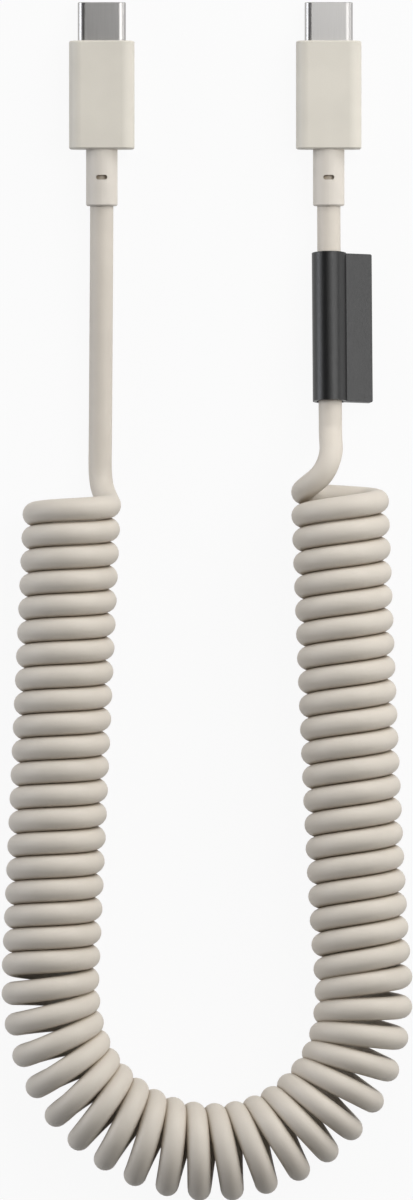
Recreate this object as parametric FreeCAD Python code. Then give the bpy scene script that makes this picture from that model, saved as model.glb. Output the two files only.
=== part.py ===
import FreeCAD, Part
import math
import os
from FreeCAD import Vector

os.makedirs("parts", exist_ok=True)

# A curly cable with a reversible plug at each end, lying on a flat surface.
# Millimetres. X runs from the left plug to the right one, Y points at the plugs' tips, Z is up.
# The origin is on the surface, midway between the two plugs and at the middle of their length.

# Metal shell of the plug
shell_width = 8.25
shell_height = 2.40
shell_wall = 0.30
shell_exposed = 6.65
shell_seat = 4.50
shell_lip = 0.1

# Cord and coil
cord_diameter = 4.0
coil_diameter = 16.8
arc_share = 0.45

# Moulded housing; its hollow clears the shell at the sides and the cord above and below
housing_length = 18.5
housing_side_room = 0.675
housing_cord_room = 0.4
housing_corner = 2.1
housing_edge = 0.2
housing_wall = 0.8
housing_front_wall = 1.2
housing_rear_wall = 1.0
shell_hole_gap = 0.05
plug_spacing = 38.9

# Strain-relief sleeve
sleeve_length = 9.75
sleeve_edge = 0.2
sleeve_neck_wall = 0.38
sleeve_step = 0.2
sleeve_flange = 1.0
sleeve_hole_gap = 0.05
sleeve_slot_length = 1.9
sleeve_slot_width = 0.8
sleeve_slot_back = 4.9
cord_bore_gap = 0.12

# Contact carrier, with the slot that takes the socket's tongue
carrier_setback = 0.60
carrier_length = 9.90
carrier_gap = 0.05
carrier_side_wall = 0.425
carrier_roof = 0.45
tongue_depth = 5.20

# Spring contacts
contact_count = 12
contact_pitch = 0.50
contact_width = 0.26
contact_sheet = 0.14
contact_tip_back = 0.80
contact_groove_depth = 0.26
contact_groove_gap = 0.03
contact_rise = 0.16
contact_nose = 0.60
contact_tail = 1.50

# Latch spring
latch_sheet = 0.30
latch_gap = 0.04
latch_arm = 0.25
latch_hook = 0.30
latch_hook_length = 0.70
latch_tip_back = 1.20
latch_bridge = 2.40

# Ground springs
ground_sheet = 0.08
ground_inset = 0.10
ground_length = 3.00
ground_lip = 0.25
ground_curl = 0.15
ground_finger_gap = 0.50
ground_fingers = 3
ground_play = 0.02

# Paddle board and what is on it
board_side_gap = 0.175
board_thick = 0.80
board_gap = 0.15
board_rear_room = 1.45
chip_side = 2.0
chip_height = 0.55
chip_edge = 0.12
chip_back = 2.6

# Shield can and its crimped collar
can_sheet = 0.20
can_gap = 0.10
can_overlap = 0.75
collar_length = 2.5
collar_gap = 0.25

# Wires between the cord and the board: place across the board, and angle round the cord's middle
wire_diameter = 0.90
wire_gap = 0.02
wire_end_gap = 0.2
wire_landing = 1.6
wire_circle = 1.38
wire_sides = 12
wire_places = [(-2.0, 141), (0.0, 90), (2.0, 39), (-1.0, 230), (1.0, 310)]

# Routes of the two leads, from inside the plug to the end of the coil
left_lead_route = [
    (-19.45, -4.0, 3.2),
    (-19.45, -20.0, 3.2),
    (-19.7, -62.0, 8.0),
    (-19.7, -66.8, 8.0),
]
right_lead_route = [
    (19.45, -4.0, 3.2),
    (19.45, -20.0, 3.2),
    (19.68, -58.0, 7.5),
    (17.6, -62.2, 9.4),
    (17.6, -65.1, 9.4),
]

# Route of the coil's middle line, seen from above
coil_route = [
    (-24.5, -66.7),
    (-28.7, -162.6),
    (-12.7, -179.1),
    (9.5, -179.1),
    (25.8, -162.6),
    (21.2, -65.1),
]

# Cable wrap: one strip folded round the right lead, its two ends laid together as a flap
wrap_length = 25.6
wrap_sheet = 0.65
wrap_bore_gap = 0.3
wrap_flap_reach = 7.5
wrap_flap_slit = 0.08
wrap_corner = 0.3
wrap_along_run = 18.4
wrap_droop = 18

# Sections that follow from the sizes
mouth_width = shell_width - 2 * shell_wall
mouth_height = shell_height - 2 * shell_wall
carrier_width = mouth_width - 2 * carrier_gap
carrier_height = mouth_height - 2 * carrier_gap
tongue_width = carrier_width - 2 * carrier_side_wall
tongue_height = carrier_height - 2 * carrier_roof
ground_width = mouth_width - mouth_height - 2 * ground_inset
board_width = mouth_width - 2 * board_side_gap
cavity_width = shell_width + 2 * housing_side_room
cavity_height = cord_diameter + 2 * housing_cord_room
cavity_corner = housing_corner - housing_wall
housing_width = cavity_width + 2 * housing_wall
housing_height = cavity_height + 2 * housing_wall
can_width = cavity_width - 2 * can_gap
can_height = cavity_height - 2 * can_gap
can_corner = cavity_corner - can_gap
flange_width = cavity_width - 2 * cavity_corner
cord_bore = cord_diameter + 2 * cord_bore_gap
sleeve_neck = cord_bore + 2 * sleeve_neck_wall
sleeve_diameter = sleeve_neck + 2 * sleeve_step

# Places that follow from the sizes, measured back from the plug's tip
plug_length = shell_exposed + housing_length + sleeve_length
tip_y = plug_length / 2
plug_height = housing_height / 2
housing_front = shell_exposed
housing_rear = housing_front + housing_length
cavity_front = housing_front + housing_front_wall
cavity_rear = housing_rear - housing_rear_wall
shell_rear = shell_exposed + shell_seat
carrier_rear = carrier_setback + carrier_length
flange_front = cavity_rear - sleeve_flange
collar_rear = flange_front - collar_gap
can_front = shell_rear - can_overlap
can_rear = collar_rear - collar_length
board_front = carrier_rear + board_gap
board_rear = can_rear - can_sheet - board_rear_room


def place(across, back, up):
    """A point of a plug: across from its axis, back from its tip, up from its axis."""
    return Vector(across, tip_y - back, plug_height + up)


def rounded_bar(width, height, corner, front, rear):
    """A bar along the plug's axis whose section is a rectangle with round corners."""
    edges = []
    last_end = None
    first_start = None
    for quarter, (side, level) in enumerate([(1, 1), (-1, 1), (-1, -1), (1, -1)]):
        centre = place(side * (width / 2 - corner), rear, level * (height / 2 - corner))
        spots = []
        for share in (0, 0.5, 1):
            angle = math.radians(90 * (quarter + share))
            spots.append(centre + Vector(math.cos(angle), 0, math.sin(angle)) * corner)
        if last_end is None:
            first_start = spots[0]
        elif last_end.distanceToPoint(spots[0]) > 1e-6:
            edges.append(Part.LineSegment(last_end, spots[0]).toShape())
        edges.append(Part.Arc(*spots).toShape())
        last_end = spots[2]
    if last_end.distanceToPoint(first_start) > 1e-6:
        edges.append(Part.LineSegment(last_end, first_start).toShape())
    face = Part.Face(Part.Wire(Part.__sortEdges__(edges)))
    return face.extrude(Vector(0, rear - front, 0))


def bevelled_bar(width, height, corner, front, rear):
    """A bar along the plug's axis whose section is a rectangle with its corners cut flat."""
    spots = []
    for side, level in [(1, 1), (-1, 1), (-1, -1), (1, -1)]:
        by_side = place(side * width / 2, rear, level * (height / 2 - corner))
        by_level = place(side * (width / 2 - corner), rear, level * height / 2)
        spots.extend([by_side, by_level] if side == level else [by_level, by_side])
    return Part.Face(Part.makePolygon(spots + spots[:1])).extrude(Vector(0, rear - front, 0))


def oblong_bar(width, height, front, rear):
    """A bar along the plug's axis with half-round sides."""
    return rounded_bar(width, height, height / 2, front, rear)


def round_bar(diameter, front, rear):
    """A round bar on the plug's axis."""
    return Part.makeCylinder(diameter / 2, rear - front, place(0, rear, 0), Vector(0, 1, 0))


def box(left, right, front, rear, low, high):
    """A block between two values across, back and up."""
    return Part.makeBox(right - left, rear - front, high - low, place(left, rear, low))


def ends_at(shape, back):
    """The edges of a shape that lie wholly in the plane at a distance behind the tip."""
    found = []
    for edge in shape.Edges:
        if all(abs(spot.y - (tip_y - back)) < 1e-4 for spot in edge.discretize(4)):
            found.append(edge)
    return found


def side_sheet(spine, thick, left, right):
    """A bent strip: a line of (back, up) points given a thickness and a width across."""
    upper = [place(left, back, up + thick / 2) for back, up in spine]
    lower = [place(left, back, up - thick / 2) for back, up in reversed(spine)]
    outline = Part.makePolygon(upper + lower + upper[:1])
    return Part.Face(outline).extrude(Vector(right - left, 0, 0))


def cord_path(points):
    """Straight runs joined by tangent arcs, each as large as its two runs allow."""
    edges = []
    radii = []
    start = points[0]
    for before, corner, after in zip(points, points[1:], points[2:]):
        toward_before = (before - corner).normalize()
        toward_after = (after - corner).normalize()
        half_turn = (math.pi - toward_before.getAngle(toward_after)) / 2
        reach = arc_share * min(corner.distanceToPoint(before), corner.distanceToPoint(after))
        radius = reach / math.tan(half_turn)
        inward = (toward_before + toward_after).normalize()
        first = corner + toward_before * reach
        middle = corner + inward * (radius / math.cos(half_turn) - radius)
        last = corner + toward_after * reach
        edges.append(Part.LineSegment(start, first).toShape())
        edges.append(Part.Arc(first, middle, last).toShape())
        radii.append(radius)
        start = last
    edges.append(Part.LineSegment(start, points[-1]).toShape())
    return Part.Wire(edges), radii


def cord_tube(name, points, diameter):
    """A plain tube along a route, with its radii and its volume printed."""
    path, radii = cord_path(points)
    ring = Part.Wire(Part.makeCircle(diameter / 2, points[0], points[1] - points[0]))
    tube = path.makePipeShell([ring], True, False)
    section = math.pi * diameter ** 2 / 4
    print(name, "radii", [round(radius, 1) for radius in radii])
    print(name, "volume / (section x length)", round(tube.Volume / (section * path.Length), 4))
    return tube


def plug_shell():
    """Oblong metal tube with its lip broken at the mouth."""
    outside = oblong_bar(shell_width, shell_height, 0, shell_rear)
    outside = outside.makeChamfer(shell_lip, ends_at(outside, 0))
    return outside.cut(oblong_bar(mouth_width, mouth_height, 0, shell_rear))


def plug_housing():
    """Hollow rounded block with a mouth for the shell and a round hole for the sleeve."""
    body = rounded_bar(housing_width, housing_height, housing_corner, housing_front, housing_rear)
    body = body.makeChamfer(housing_edge, ends_at(body, housing_front) + ends_at(body, housing_rear))
    cavity = rounded_bar(cavity_width, cavity_height, cavity_corner, cavity_front, cavity_rear)
    hole_width = shell_width + 2 * shell_hole_gap
    hole_height = shell_height + 2 * shell_hole_gap
    shell_hole = oblong_bar(hole_width, hole_height, housing_front, cavity_front)
    sleeve_hole = round_bar(sleeve_neck + 2 * sleeve_hole_gap, cavity_rear, housing_rear)
    return body.cut([cavity, shell_hole, sleeve_hole])


def strain_relief():
    """Round sleeve with one slot in its top, a neck in the housing's wall and a flange inside."""
    sleeve_rear = housing_rear + sleeve_length
    sleeve = round_bar(sleeve_diameter, housing_rear, sleeve_rear)
    sleeve = sleeve.makeChamfer(sleeve_edge, ends_at(sleeve, sleeve_rear))
    neck = round_bar(sleeve_neck, cavity_rear, housing_rear)
    flange = box(-flange_width / 2, flange_width / 2, flange_front, cavity_rear, -can_height / 2, can_height / 2)
    bore = round_bar(cord_bore, flange_front, sleeve_rear)
    slot_middle = housing_rear + sleeve_slot_back
    slot_straight = (sleeve_slot_length - sleeve_slot_width) / 2
    half_width = sleeve_slot_width / 2
    half_round = sleeve_diameter / 2
    slot = box(-slot_straight, slot_straight, slot_middle - half_width, slot_middle + half_width, 0, half_round)
    for side in (-1, 1):
        foot = place(side * slot_straight, slot_middle, 0)
        slot = slot.fuse(Part.makeCylinder(half_width, half_round, foot))
    return sleeve.fuse([neck, flange]).removeSplitter().cut([bore, slot])


def contact_places():
    """Distance of each contact from the plug's middle."""
    first = -contact_pitch * (contact_count - 1) / 2
    return [first + contact_pitch * number for number in range(contact_count)]


def contact_carrier():
    """Plastic insert with the tongue slot, contact grooves, latch channels and spring recesses."""
    carrier = oblong_bar(carrier_width, carrier_height, carrier_setback, carrier_rear)
    tongue_rear = carrier_setback + tongue_depth
    half_tongue = tongue_height / 2
    groove_width = contact_width + 2 * contact_groove_gap
    groove_front = contact_tip_back + carrier_setback - contact_groove_gap
    groove_top = half_tongue + contact_groove_depth
    cuts = [box(-tongue_width / 2, tongue_width / 2, carrier_setback, tongue_rear, -half_tongue, half_tongue)]
    for middle in contact_places():
        left = middle - groove_width / 2
        right = middle + groove_width / 2
        cuts.append(box(left, right, groove_front, carrier_rear, half_tongue, groove_top))
        cuts.append(box(left, right, groove_front, carrier_rear, -groove_top, -half_tongue))
    channel = latch_sheet / 2 + latch_gap
    channel_front = carrier_setback + latch_tip_back - latch_gap
    channel_side = tongue_width / 2 + latch_gap + latch_arm + latch_gap
    for side in (-1, 1):
        edges = sorted([side * tongue_width / 2, side * channel_side])
        cuts.append(box(edges[0], edges[1], channel_front, carrier_rear, -channel, channel))
    bridge_front = carrier_rear - latch_bridge - latch_gap
    cuts.append(box(-channel_side, channel_side, bridge_front, carrier_rear, -channel, channel))
    recess = ground_sheet + ground_play
    recess_side = ground_width / 2 + ground_play
    recess_rear = carrier_setback + ground_length + ground_play
    top = carrier_height / 2
    for level in (-1, 1):
        low, high = sorted([level * top, level * (top - recess)])
        cuts.append(box(-recess_side, recess_side, carrier_setback, recess_rear, low, high))
    return carrier.cut(cuts)


def contact_row(level):
    """One row of spring contacts, above the tongue slot for level 1 and below it for level -1."""
    tip = carrier_setback + contact_tip_back
    seat = tongue_height / 2 + contact_groove_depth - contact_sheet / 2 - contact_groove_gap
    nose = tongue_height / 2 - contact_rise + contact_sheet / 2
    landing = board_thick / 2 + contact_sheet / 2
    spine = [
        (tip, (seat + nose) / 2),
        (tip + contact_nose, nose),
        (tip + 3 * contact_nose, seat),
        (carrier_rear, seat),
        (board_front + contact_sheet, landing),
        (board_front + contact_tail, landing),
    ]
    spine = [(back, level * up) for back, up in spine]
    strips = []
    for middle in contact_places():
        left = middle - contact_width / 2
        strips.append(side_sheet(spine, contact_sheet, left, left + contact_width))
    return Part.Compound(strips)


def latch_spring():
    """Flat fork with a hook on each arm, lying in the carrier's middle plane."""
    inner = tongue_width / 2 + latch_gap
    outer = inner + latch_arm
    tip = carrier_setback + latch_tip_back
    half_outline = [
        (0, carrier_rear),
        (outer, carrier_rear),
        (outer, tip + latch_hook_length / 2),
        (inner + latch_arm / 2, tip),
        (inner, tip),
        (inner - latch_hook, tip + latch_hook_length),
        (inner, tip + 2 * latch_hook_length),
        (inner, carrier_rear - latch_bridge),
        (0, carrier_rear - latch_bridge),
    ]
    low = -latch_sheet / 2
    right_side = [place(across, back, low) for across, back in half_outline]
    left_side = [place(-across, back, low) for across, back in reversed(half_outline[1:-1])]
    outline = Part.makePolygon(right_side + left_side + right_side[:1])
    return Part.Face(outline).extrude(Vector(0, 0, latch_sheet))


def ground_springs():
    """A thin sheet above and below the carrier, with three fingers bent into the mouth."""
    springs = []
    for level in (-1, 1):
        rest = carrier_height / 2 - ground_sheet / 2 - ground_play / 2
        spine = [
            (carrier_setback - ground_lip - ground_curl, rest - ground_lip + ground_curl),
            (carrier_setback - ground_lip, rest - ground_lip),
            (carrier_setback - ground_sheet, rest),
            (carrier_setback + ground_length, rest),
        ]
        spine = [(back, level * up) for back, up in spine]
        sheet = side_sheet(spine, ground_sheet, -ground_width / 2, ground_width / 2)
        for number in range(1, ground_fingers):
            middle = -ground_width / 2 + number * ground_width / ground_fingers
            left = middle - ground_finger_gap / 2
            right = middle + ground_finger_gap / 2
            gap = box(left, right, 0, carrier_setback + ground_lip, -mouth_height / 2, mouth_height / 2)
            sheet = sheet.cut(gap)
        springs.extend(sheet.Solids)
    return Part.Compound(springs)


def paddle_board():
    """Small circuit board behind the carrier, level with the middle of the plug."""
    half = board_width / 2
    return box(-half, half, board_front, board_rear, -board_thick / 2, board_thick / 2)


def marker_chip():
    """Square chip on top of the board, with its upper edges broken."""
    middle = board_front + chip_back + chip_side / 2
    half = chip_side / 2
    top = board_thick / 2 + chip_height
    chip = box(-half, half, middle - half, middle + half, board_thick / 2, top)
    upper_edges = []
    for edge in chip.Edges:
        if all(abs(vertex.Z - plug_height - top) < 1e-4 for vertex in edge.Vertexes):
            upper_edges.append(edge)
    return chip.makeChamfer(chip_edge, upper_edges)


def shield_can():
    """Folded sheet round the board, closed on the shell in front and on the cord behind."""
    outside = bevelled_bar(can_width, can_height, can_corner, can_front, can_rear)
    collar = round_bar(cord_bore + 2 * can_sheet, can_rear, collar_rear)
    inside_width = can_width - 2 * can_sheet
    inside_height = can_height - 2 * can_sheet
    inside_corner = can_corner - can_sheet * (2 - math.sqrt(2))
    inside = bevelled_bar(inside_width, inside_height, inside_corner,
                          can_front + can_sheet, can_rear - can_sheet)
    hole_width = shell_width + 2 * shell_hole_gap
    hole_height = shell_height + 2 * shell_hole_gap
    shell_hole = oblong_bar(hole_width, hole_height, can_front, can_front + can_sheet)
    cord_hole = round_bar(cord_bore, can_rear - can_sheet, collar_rear)
    return outside.fuse(collar).cut([inside, shell_hole, cord_hole])


def plug_wires(cord_start):
    """Five insulated wires that spread straight from the cord's end to the board."""
    wires = []
    wire_rear = tip_y - cord_start[1] - wire_end_gap
    landing_height = board_thick / 2 + wire_diameter / 2 + wire_gap
    corners = []
    for number in range(wire_sides):
        angle = 2 * math.pi * number / wire_sides
        corners.append(Vector(math.cos(angle), math.sin(angle), 0) * (wire_diameter / 2))
    ring = Part.makePolygon(corners + corners[:1])
    for at_board, angle in wire_places:
        across = wire_circle * math.cos(math.radians(angle))
        up = wire_circle * math.sin(math.radians(angle))
        landing = place(at_board, board_rear - wire_landing, math.copysign(landing_height, up))
        run = place(across, wire_rear, up) - landing
        wire = Part.Face(ring).extrude(Vector(0, 0, run.Length))
        wire.Placement = FreeCAD.Placement(landing, FreeCAD.Rotation(Vector(0, 0, 1), run))
        wires.append(wire)
    return Part.Compound(wires)


def cable_wrap(route):
    """Strip folded round the lead's long run, with a flap of two layers that droops on the right."""
    bore = cord_diameter / 2 + wrap_bore_gap
    ring = bore + wrap_sheet
    flap_half = wrap_sheet + wrap_flap_slit / 2
    start = Vector(0, -wrap_length / 2, 0)
    along = Vector(0, wrap_length, 0)
    loop = Part.Face(Part.Wire(Part.makeCircle(ring, start, Vector(0, 1, 0)))).extrude(along)
    flap = Part.makeBox(wrap_flap_reach, wrap_length, 2 * flap_half,
                        Vector(0, -wrap_length / 2, -flap_half))
    corner_edges = []
    for edge in flap.Edges:
        ends = edge.Vertexes
        if all(abs(end.X - wrap_flap_reach) < 1e-6 for end in ends) and abs(ends[0].Z - ends[1].Z) > 1e-6:
            corner_edges.append(edge)
    flap = flap.makeFillet(wrap_corner, corner_edges)
    hole = Part.makeCylinder(bore, wrap_length, start, Vector(0, 1, 0))
    slit = Part.makeBox(wrap_flap_reach, wrap_length, wrap_flap_slit,
                        Vector(0, -wrap_length / 2, -wrap_flap_slit / 2))
    strip = loop.fuse(flap).cut([hole, slit])
    run = route[2] - route[1]
    middle = route[1] + Vector(run).normalize() * wrap_along_run
    droop = FreeCAD.Rotation(Vector(0, 1, 0), wrap_droop)
    strip.Placement = FreeCAD.Placement(middle, FreeCAD.Rotation(Vector(0, -1, 0), run).multiply(droop))
    return strip


def save(name, shape):
    """Write one piece to its own file."""
    shape.exportStep("parts/" + name + ".step")


left_route = [Vector(*point) for point in left_lead_route]
right_route = [Vector(*point) for point in right_lead_route]
coil_points = [Vector(across, along, coil_diameter / 2) for across, along in coil_route]

# The two plugs, alike but for the chip
for name, side, route in (("left", -1, left_route), ("right", 1, right_route)):
    pieces = {
        "plug_shell": plug_shell(),
        "plug_housing": plug_housing(),
        "strain_relief": strain_relief(),
        "contact_carrier": contact_carrier(),
        "upper_contacts": contact_row(1),
        "lower_contacts": contact_row(-1),
        "latch_spring": latch_spring(),
        "ground_springs": ground_springs(),
        "paddle_board": paddle_board(),
        "shield_can": shield_can(),
        "plug_wires": plug_wires(route[0]),
    }
    if name == "right":
        pieces["marker_chip"] = marker_chip()
    for piece, shape in pieces.items():
        shape.translate(Vector(side * plug_spacing / 2, 0, 0))
        save(name + "_" + piece, shape)

# The cord and the wrap
save("left_lead", cord_tube("left_lead", left_route, cord_diameter))
save("coil", cord_tube("coil", coil_points, coil_diameter))
save("right_lead", cord_tube("right_lead", right_route, cord_diameter))
save("cable_wrap", cable_wrap(right_route))
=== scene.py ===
"""Looks of a curly charging cable that lies on a pale floor, seen from above. Metres."""

import math

import bpy
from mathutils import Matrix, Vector


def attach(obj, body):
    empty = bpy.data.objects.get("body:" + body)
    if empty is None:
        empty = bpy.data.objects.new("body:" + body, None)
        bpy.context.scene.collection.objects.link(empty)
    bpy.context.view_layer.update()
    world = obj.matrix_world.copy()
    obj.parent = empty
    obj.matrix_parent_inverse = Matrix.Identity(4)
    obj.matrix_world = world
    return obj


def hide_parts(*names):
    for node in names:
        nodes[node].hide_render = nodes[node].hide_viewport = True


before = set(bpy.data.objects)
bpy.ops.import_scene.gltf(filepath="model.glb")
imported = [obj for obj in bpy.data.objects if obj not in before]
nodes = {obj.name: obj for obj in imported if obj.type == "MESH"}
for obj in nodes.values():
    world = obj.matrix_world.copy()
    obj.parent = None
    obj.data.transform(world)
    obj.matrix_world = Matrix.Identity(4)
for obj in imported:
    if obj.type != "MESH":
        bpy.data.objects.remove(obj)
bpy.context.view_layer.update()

# The view: straight down, with the long side of the frame along Y
view_middle = Vector((-0.0015, -0.0850, 0.0084))
view_length = 0.2052
view_distance = 2.0
sensor = 36.0

# The cord
cord_diameter = 0.004
cord_sides = 20
cord_steps = 4

# The coil: bend_spread and bend_lean set how its turns open where it bends
coil_diameter = 0.0168
coil_turns = 60
points_per_turn = 16
coil_start_room = 0.0019
coil_end_room = 0.0012
bend_spread = 0.46
bend_lean = 0.025
route_steps = 24

# Route of the left lead, from inside its plug to the coil
left_lead_route = [
    (-0.01945, -0.0040, 0.0032),
    (-0.01945, -0.0200, 0.0032),
    (-0.01956, -0.0360, 0.0027),
    (-0.01970, -0.0572, 0.0022),
    (-0.01980, -0.0648, 0.0022),
    (-0.01850, -0.0680, 0.0055),
]

# Route of the coil's middle line
coil_height = coil_diameter / 2
coil_route = [
    (-0.0244, -0.0667, coil_height),
    (-0.0275, -0.1340, coil_height),
    (-0.0288, -0.1624, coil_height),
    (-0.0128, -0.1790, coil_height),
    (0.0102, -0.1798, coil_height),
    (0.0266, -0.1626, coil_height),
    (0.0237, -0.1325, coil_height),
    (0.0212, -0.0651, coil_height),
]

# Route of the right lead, from the coil to inside its plug
right_lead_route = [
    (0.01480, -0.0665, 0.0085),
    (0.01600, -0.0655, 0.0110),
    (0.01850, -0.0635, 0.0120),
    (0.01990, -0.0600, 0.0110),
    (0.01970, -0.0570, 0.0075),
    (0.01970, -0.0540, 0.0070),
    (0.01955, -0.0359, 0.0050),
    (0.01945, -0.0200, 0.0030),
    (0.01945, -0.0040, 0.0032),
]

# Moulded surfaces: cloudy colour, a fine grain, and painted shade in creases, dark and warm
cloud_scale = 120
cloud_tint = 0.03
grain_detail = 3
grain_gloss = 0.06
# Painted shade in creases: its warm dark tint, and the occlusion levels where it is full and
# where it is gone
painted_shade_tint = (0.66, 0.61, 0.54)
painted_shade_deep = 0.2
painted_shade_open = 0.7

# Plated surfaces: fine brushed lines
brush_scale = 7000
brush_detail = 4
brush_shade = 0.94
brush_gloss = 0.03
brush_depth = 0.000001

# The floor, the low walls far off round it, and the light from all round
floor_half = 8.0
wall_height = 2.0
floor_colour = (0.6, 0.6, 0.6)
floor_roughness = 0.8
floor_white = 0.93
sky_strength = 0.03

# The lamps
cable_middle = (0, -0.08, 0.01)
wide_lamp = (0.6, 0.5)
cool_light = (0.92, 0.97, 1.08)


def add_camera():
    """The scene's camera, on a long lens."""
    data = bpy.data.cameras.new("camera")
    data.sensor_width = sensor
    data.lens = sensor * view_distance / view_length
    camera = bpy.data.objects.new("camera", data)
    camera.location = view_middle + Vector((0, 0, view_distance))
    bpy.context.scene.collection.objects.link(camera)
    bpy.context.scene.camera = camera


def nurbs_curve(name, points, radius, resolution):
    """An open curve on one spline, with the points as its control points."""
    data = bpy.data.curves.new(name, "CURVE")
    data.dimensions = "3D"
    data.resolution_u = resolution
    spline = data.splines.new("NURBS")
    spline.points.add(len(points) - 1)
    for control, point in zip(spline.points, points):
        control.co = (*point, 1)
        control.radius = radius
    spline.order_u = 3
    spline.use_endpoint_u = True
    piece = bpy.data.objects.new(name, data)
    bpy.context.scene.collection.objects.link(piece)
    return piece


def points_on(route):
    """The points that the route's smooth spline passes through."""
    guide = nurbs_curve("guide", route, 0, route_steps)
    mesh = bpy.data.meshes.new_from_object(guide)
    points = [vertex.co.copy() for vertex in mesh.vertices]
    bpy.data.objects.remove(guide)
    bpy.data.meshes.remove(mesh)
    return points


def along(values, stops, wanted):
    """The value at a wanted stop, between the two nearest ones."""
    low = 0
    high = len(stops) - 1
    while high - low > 1:
        middle = (low + high) // 2
        if stops[middle] <= wanted:
            low = middle
        else:
            high = middle
    share = (wanted - stops[low]) / (stops[high] - stops[low])
    return values[low] + (values[high] - values[low]) * share


def helix(route):
    """Control points of the coil's turns round the route, from the inside of the bend."""
    line = points_on(route)
    lengths = [0.0]
    for first, second in zip(line, line[1:]):
        lengths.append(lengths[-1] + (second - first).length)
    tangents = []
    for number in range(len(line)):
        before = line[max(number - 1, 0)]
        after = line[min(number + 1, len(line) - 1)]
        tangents.append((after - before).normalized())

    # Turns stand further apart where the coil bends
    turns = [0.0]
    bends = [0.0]
    for number in range(1, len(line)):
        step = lengths[number] - lengths[number - 1]
        bends.append(tangents[number].angle(tangents[number - 1]) / step)
        turns.append(turns[-1] + step / (1 + bend_spread * bends[-1] * coil_diameter / 2))
    first_turn = along(turns, lengths, coil_start_room)
    last_turn = along(turns, lengths, lengths[-1] - coil_end_room)
    turn_room = (last_turn - first_turn) / (2 * math.pi * coil_turns)

    # Each turn's top leans forward where the coil bends
    up = Vector((0, 0, 1))
    cord_middle_radius = (coil_diameter - cord_diameter) / 2
    control_radius = cord_middle_radius / math.cos(math.pi / points_per_turn)
    points = []
    for number in range(coil_turns * points_per_turn + 1):
        angle = 2 * math.pi * number / points_per_turn
        stop = first_turn + turn_room * angle
        stop += bend_lean * along(bends, turns, stop) * turn_room * math.sin(angle)
        inward = up.cross(along(tangents, turns, stop)).normalized()
        outward = inward * math.cos(angle) + up * math.sin(angle)
        points.append(along(line, turns, stop) + control_radius * outward)
    return points


def add_cord():
    """The whole cord, from inside the left plug to inside the right one, on one spline."""
    turns = helix(coil_route)
    points = left_lead_route + turns[:-1] + right_lead_route
    cord = nurbs_curve("cord", points, cord_diameter / 2, cord_steps)
    cord.data.bevel_depth = 1
    cord.data.bevel_resolution = (cord_sides - 4) // 2
    cord.data.use_fill_caps = True
    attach(cord, "cable")
    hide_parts("left_lead", "coil", "right_lead")
    return cord


def new_material(name, colour, roughness, metallic=0.0):
    """A material set to these values, and its shader."""
    material = bpy.data.materials.new(name)
    material.use_nodes = True
    shader = material.node_tree.nodes["Principled BSDF"]
    shader.inputs["Base Color"].default_value = (*colour, 1)
    shader.inputs["Roughness"].default_value = roughness
    shader.inputs["Metallic"].default_value = metallic
    return material, shader


def noise(tree, scale, detail=2.0, stretch=(1, 1, 1)):
    """A noise over the object's own place; scale is per metre."""
    place = tree.nodes.new("ShaderNodeTexCoord")
    mapping = tree.nodes.new("ShaderNodeMapping")
    mapping.inputs["Scale"].default_value = stretch
    texture = tree.nodes.new("ShaderNodeTexNoise")
    texture.inputs["Scale"].default_value = scale
    texture.inputs["Detail"].default_value = detail
    tree.links.new(place.outputs["Object"], mapping.inputs["Vector"])
    tree.links.new(mapping.outputs["Vector"], texture.inputs["Vector"])
    return texture.outputs["Fac"]


def ramp(tree, factor, low, high, start=0.35, end=0.65):
    """A blend between two colours where the factor passes from start to end."""
    node = tree.nodes.new("ShaderNodeValToRGB")
    node.color_ramp.elements[0].position = start
    node.color_ramp.elements[0].color = (*low, 1)
    node.color_ramp.elements[1].position = end
    node.color_ramp.elements[1].color = (*high, 1)
    tree.links.new(factor, node.inputs["Fac"])
    return node.outputs["Color"]


def vary_gloss(tree, shader, factor, roughness, change, start=0.3, end=0.7):
    """Let the shader's roughness rise by the change, and fall, with the factor."""
    node = tree.nodes.new("ShaderNodeMapRange")
    node.inputs["From Min"].default_value = start
    node.inputs["From Max"].default_value = end
    node.inputs["To Min"].default_value = roughness - change
    node.inputs["To Max"].default_value = roughness + change
    tree.links.new(factor, node.inputs["Value"])
    tree.links.new(node.outputs["Result"], shader.inputs["Roughness"])


def bump(tree, shader, factor, distance):
    """Grain of this height on the shader's surface."""
    node = tree.nodes.new("ShaderNodeBump")
    node.inputs["Distance"].default_value = distance
    node.inputs["Strength"].default_value = 1.0
    tree.links.new(factor, node.inputs["Height"])
    tree.links.new(node.outputs["Normal"], shader.inputs["Normal"])


def painted_crease_shade(tree, colour, reach):
    """The colour with painted shade, darker and warmer in creases narrower than the reach,
    where ambient occlusion finds them.
    """
    open_sky = tree.nodes.new("ShaderNodeAmbientOcclusion")
    open_sky.inputs["Distance"].default_value = reach
    shade = ramp(tree, open_sky.outputs["AO"], painted_shade_tint, (1, 1, 1), painted_shade_deep, painted_shade_open)
    multiply = tree.nodes.new("ShaderNodeMix")
    multiply.data_type = "RGBA"
    multiply.blend_type = "MULTIPLY"
    multiply.inputs["Factor"].default_value = 1.0
    tree.links.new(colour, multiply.inputs["A"])
    tree.links.new(shade, multiply.inputs["B"])
    return multiply.outputs["Result"]


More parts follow.
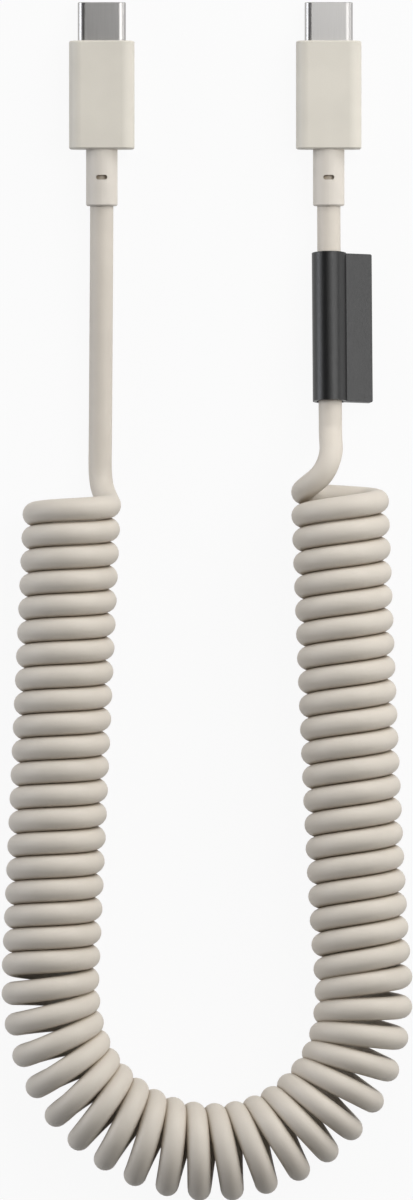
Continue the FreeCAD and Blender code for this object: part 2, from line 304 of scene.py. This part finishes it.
def moulded(name, colour, roughness, grain_scale, grain_height, painted_shade_reach=0.0):
    """Moulded plastic or rubber: faint cloudiness, a fine grain that scatters its gloss, and
    painted shade in creases when a reach is given.
    """
    material, shader = new_material(name, colour, roughness)
    tree = material.node_tree
    darker = [value * (1 - cloud_tint) for value in colour]
    lighter = [value * (1 + cloud_tint) for value in colour]
    tone_with_painted_shade = ramp(tree, noise(tree, cloud_scale), darker, lighter)
    # Painted shade: darker, warmer colour in creases and recesses
    if painted_shade_reach:
        tone_with_painted_shade = painted_crease_shade(tree, tone_with_painted_shade, painted_shade_reach)
    tree.links.new(tone_with_painted_shade, shader.inputs["Base Color"])
    grain = noise(tree, grain_scale, grain_detail)
    vary_gloss(tree, shader, grain, roughness, grain_gloss)
    bump(tree, shader, grain, grain_height)
    return material


def plated(name, colour, roughness, brushing):
    """Plated metal with fine lines along Y."""
    material, shader = new_material(name, colour, roughness, 1.0)
    tree = material.node_tree
    lines = noise(tree, brush_scale, brush_detail, (1, brushing, 1))
    darker = [value * brush_shade for value in colour]
    tree.links.new(ramp(tree, lines, darker, colour), shader.inputs["Base Color"])
    vary_gloss(tree, shader, lines, roughness, brush_gloss)
    bump(tree, shader, lines, brush_depth)
    return material


def clad(names, material):
    """Give CAD nodes this material."""
    for name in names:
        data = nodes[name].data
        data.materials.clear()
        data.materials.append(material)


def both(name):
    """A node of the left plug and the same node of the right one."""
    return ["left_" + name, "right_" + name]


def seen_directly(tree):
    """1 for rays from the camera, from gloss and through glass, 0 for light that scatters."""
    path = tree.nodes.new("ShaderNodeLightPath")
    factor = path.outputs["Is Camera Ray"]
    for name in ("Is Glossy Ray", "Is Transmission Ray"):
        either = tree.nodes.new("ShaderNodeMath")
        either.operation = "MAXIMUM"
        tree.links.new(factor, either.inputs[0])
        tree.links.new(path.outputs[name], either.inputs[1])
        factor = either.outputs["Value"]
    return factor


def floor_material():
    """A pale surface that keeps soft shadows, and shows as white to the camera."""
    material, shader = new_material("floor", floor_colour, floor_roughness)
    shader.inputs["Specular IOR Level"].default_value = 0.0
    tree = material.node_tree
    glow = tree.nodes.new("ShaderNodeEmission")
    share = tree.nodes.new("ShaderNodeMath")
    share.operation = "MULTIPLY"
    share.inputs[1].default_value = floor_white
    tree.links.new(seen_directly(tree), share.inputs[0])
    blend = tree.nodes.new("ShaderNodeMixShader")
    tree.links.new(share.outputs[0], blend.inputs["Fac"])
    tree.links.new(shader.outputs["BSDF"], blend.inputs[1])
    tree.links.new(glow.outputs["Emission"], blend.inputs[2])
    tree.links.new(blend.outputs["Shader"], tree.nodes["Material Output"].inputs["Surface"])
    return material


def add_floor():
    """A wide square floor with a low wall along each side."""
    corners = [
        (-floor_half, -floor_half),
        (floor_half, -floor_half),
        (floor_half, floor_half),
        (-floor_half, floor_half),
    ]
    places = [(x, y, height) for height in (0, wall_height) for x, y in corners]
    faces = [(0, 1, 2, 3)]
    for corner in range(4):
        following = (corner + 1) % 4
        faces.append((corner, following, following + 4, corner + 4))
    mesh = bpy.data.meshes.new("floor")
    mesh.from_pydata(places, [], faces)
    floor = bpy.data.objects.new("floor", mesh)
    bpy.context.scene.collection.objects.link(floor)
    mesh.materials.append(floor_material())


def add_world():
    """Faint light from all round."""
    world = bpy.data.worlds.new("studio")
    world.use_nodes = True
    background = world.node_tree.nodes["Background"]
    background.inputs["Color"].default_value = (1, 1, 1, 1)
    background.inputs["Strength"].default_value = sky_strength
    bpy.context.scene.world = world


def add_area(name, place, target, size, power, colour=(1, 1, 1)):
    """A soft rectangular lamp aimed at a point."""
    data = bpy.data.lights.new(name, "AREA")
    data.shape = "RECTANGLE"
    data.size, data.size_y = size
    data.energy = power
    data.color = colour
    lamp = bpy.data.objects.new(name, data)
    lamp.location = place
    lamp.rotation_mode = "QUATERNION"
    lamp.rotation_quaternion = (Vector(target) - Vector(place)).to_track_quat("-Z", "Y")
    lamp.visible_camera = False
    bpy.context.scene.collection.objects.link(lamp)


add_camera()
cord = add_cord()

# Materials: colour, roughness, and the grain's scale and height or the lines' stretch, then for
# the cord and the sleeve the reach of painted crease shade
cord_cover = moulded("cord_cover", (0.64, 0.585, 0.51), 0.55, 3500, 0.00002, 0.0025)
housing_plastic = moulded("housing_plastic", (0.69, 0.65, 0.57), 0.5, 6000, 0.000015)
sleeve_plastic = moulded("sleeve_plastic", (0.69, 0.64, 0.57), 0.52, 6000, 0.000015, 0.0012)
carrier_plastic = moulded("carrier_plastic", (0.02, 0.02, 0.02), 0.4, 5000, 0.00001)
chip_package = moulded("chip_package", (0.03, 0.03, 0.03), 0.5, 5000, 0.00001)
wire_cover = moulded("wire_cover", (0.45, 0.06, 0.05), 0.45, 3000, 0.00001)
board_mask = moulded("board_mask", (0.03, 0.20, 0.10), 0.3, 3000, 0.00001)
wrap_rubber = moulded("wrap_rubber", (0.004, 0.004, 0.004), 0.38, 4500, 0.00002)
shell_metal = plated("shell_metal", (0.43, 0.42, 0.41), 0.36, 0.02)
spring_steel = plated("spring_steel", (0.62, 0.62, 0.63), 0.3, 0.05)
contact_metal = plated("contact_metal", (0.83, 0.62, 0.30), 0.25, 0.05)

cord.data.materials.append(cord_cover)
clad(both("plug_housing"), housing_plastic)
clad(both("strain_relief"), sleeve_plastic)
clad(both("plug_shell"), shell_metal)
clad(both("contact_carrier"), carrier_plastic)
clad(both("upper_contacts") + both("lower_contacts"), contact_metal)
clad(both("latch_spring") + both("ground_springs") + both("shield_can"), spring_steel)
clad(both("paddle_board"), board_mask)
clad(both("plug_wires"), wire_cover)
clad(["right_marker_chip"], chip_package)
clad(["cable_wrap"], wrap_rubber)

# Floor and light: wide lamps far off all round, and small ones close to the plugs and the bend
add_floor()
add_world()
add_area("left_lamp", (-1.17, -0.08, 0.26), cable_middle, wide_lamp, 3.7, cool_light)
add_area("left_back_lamp", (-1.02, 0.40, 0.42), cable_middle, wide_lamp, 3.1)
add_area("back_lamp", (0.0, 1.01, 0.52), cable_middle, wide_lamp, 3.0)
add_area("key_lamp", (0.73, 0.78, 0.42), cable_middle, wide_lamp, 4.6)
add_area("right_lamp", (1.17, -0.18, 0.26), cable_middle, wide_lamp, 2.6)
add_area("right_high_lamp", (0.73, 0.20, 0.95), cable_middle, (0.8, 0.8), 5.8)
add_area("plug_lamp", (0.057, 0.07, 0.22), (0.057, 0.07, 0.0), (0.12, 0.12), 0.12)
add_area("right_plug_lamp", (0.09, -0.02, 0.12), (0.0195, -0.005, 0.005), (0.06, 0.06), 0.012)
add_area("bend_lamp", (0.0, -0.175, 0.15), (0.0, -0.175, 0.0), (0.1, 0.1), 0.022)

bpy.context.scene.view_settings.view_transform = "Standard"

bpy.context.view_layer.update()
